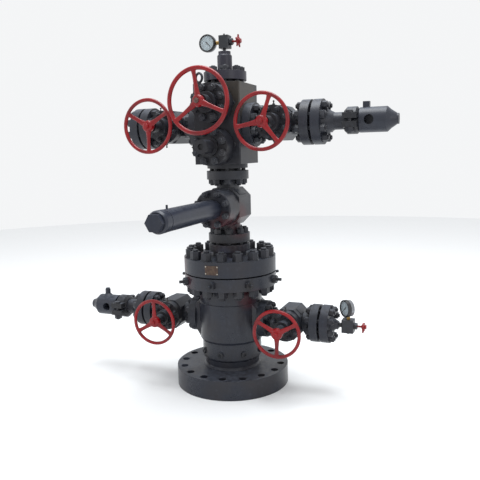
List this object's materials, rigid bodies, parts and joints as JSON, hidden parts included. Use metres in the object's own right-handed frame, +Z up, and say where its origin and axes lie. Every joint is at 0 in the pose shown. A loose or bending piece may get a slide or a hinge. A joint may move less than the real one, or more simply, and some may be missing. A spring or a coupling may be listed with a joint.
{
  "type": "oil wellhead valve stack",
  "caption": "Free-standing oil wellhead stack: flanged tubing head, master valve with long actuator, square tree block, side wings, outlets, gauges and handwheels.",
  "frame": {"origin": "centre of the base flange's underside, on the well bore axis", "axes": "+Z up the well bore; +X along the wings and outlets towards the flow line clamp; valve stems and actuator point to -Y"},
  "size_m": [1.966, 1.2065, 2.043],
  "materials": {
    "slate_enamel": "satin enamel with dust and wear",
    "dark_casting": "matt enamel on rough casting",
    "red_enamel": "gloss enamel",
    "fittings_steel": "worn paint over steel",
    "gauge_case": "satin",
    "brass": "dull",
    "plate_metal": "weathered"
  },
  "bodies": {
    "stack": {"actuator_cylinder": "slate_enamel", "actuator_end_cap": "fittings_steel", "blank_plate": "plate_metal", "left_outlet_clamp": "dark_casting", "left_outlet_companion_flange": "slate_enamel", "left_outlet_end_body": "slate_enamel", "left_outlet_valve_body": "slate_enamel", "left_outlet_valve_bonnet": "slate_enamel", "left_wing_blind_flange": "slate_enamel", "left_wing_valve_body": "slate_enamel", "left_wing_valve_bonnet": "slate_enamel", "lifting_eye": "slate_enamel", "lower_master_bonnet": "slate_enamel", "master_valve_body": "slate_enamel", "master_valve_bonnet": "slate_enamel", "outlet_gauge": "gauge_case", "outlet_gauge_stem": "brass", "outlet_instrument_flange": "slate_enamel", "outlet_needle_block": "slate_enamel", "outlet_needle_gland": "fittings_steel", "port_plugs": "fittings_steel", "right_outlet_valve_body": "slate_enamel", "right_outlet_valve_bonnet": "slate_enamel", "right_wing_clamp": "dark_casting", "right_wing_companion_flange": "slate_enamel", "right_wing_end_body": "slate_enamel", "right_wing_valve_body": "slate_enamel", "right_wing_valve_bonnet": "slate_enamel", "swab_bonnet": "slate_enamel", "tie_down_screws": "fittings_steel", "top_gauge": "gauge_case", "top_gauge_stem": "brass", "top_needle_block": "slate_enamel", "top_needle_gland": "fittings_steel", "tree_block": "slate_enamel", "tree_cap": "slate_enamel", "tubing_head_adapter": "slate_enamel", "tubing_head_spool": "slate_enamel"},
    "swab_handwheel": {"swab_handwheel": "red_enamel"},
    "left_wing_handwheel": {"left_wing_handwheel": "red_enamel"},
    "right_wing_handwheel": {"right_wing_handwheel": "red_enamel"},
    "left_outlet_handwheel": {"left_outlet_handwheel": "red_enamel"},
    "right_outlet_handwheel": {"right_outlet_handwheel": "red_enamel"},
    "top_needle_handwheel": {"top_needle_handwheel": "red_enamel"},
    "outlet_needle_handwheel": {"outlet_needle_handwheel": "red_enamel"}
  },
  "joints": [
    {"name": "swab_stem_turn", "type": "hinge", "parent": "stack", "child": "swab_handwheel", "pos_m": [0, -0.381, 1.647], "axis": [0, -1, 0], "range_deg": [0, 5580]},
    {"name": "left_wing_stem_turn", "type": "hinge", "parent": "stack", "child": "left_wing_handwheel", "pos_m": [-0.33, -0.337, 1.531], "axis": [0, -1, 0], "range_deg": [0, 5580]},
    {"name": "right_wing_stem_turn", "type": "hinge", "parent": "stack", "child": "right_wing_handwheel", "pos_m": [0.33, -0.337, 1.531], "axis": [0, -1, 0], "range_deg": [0, 5580]},
    {"name": "left_outlet_stem_turn", "type": "hinge", "parent": "stack", "child": "left_outlet_handwheel", "pos_m": [-0.378, -0.287, 0.402], "axis": [0, -1, 0], "range_deg": [0, 4770]},
    {"name": "right_outlet_stem_turn", "type": "hinge", "parent": "stack", "child": "right_outlet_handwheel", "pos_m": [0.378, -0.287, 0.402], "axis": [0, -1, 0], "range_deg": [0, 4770]},
    {"name": "top_needle_stem_turn", "type": "hinge", "parent": "stack", "child": "top_needle_handwheel", "pos_m": [0.076, 0, 1.995], "axis": [1, 0, 0], "range_deg": [0, 1890]},
    {"name": "outlet_needle_stem_turn", "type": "hinge", "parent": "stack", "child": "outlet_needle_handwheel", "pos_m": [0.786, 0, 0.402], "axis": [1, 0, 0], "range_deg": [0, 1890]}
  ]
}
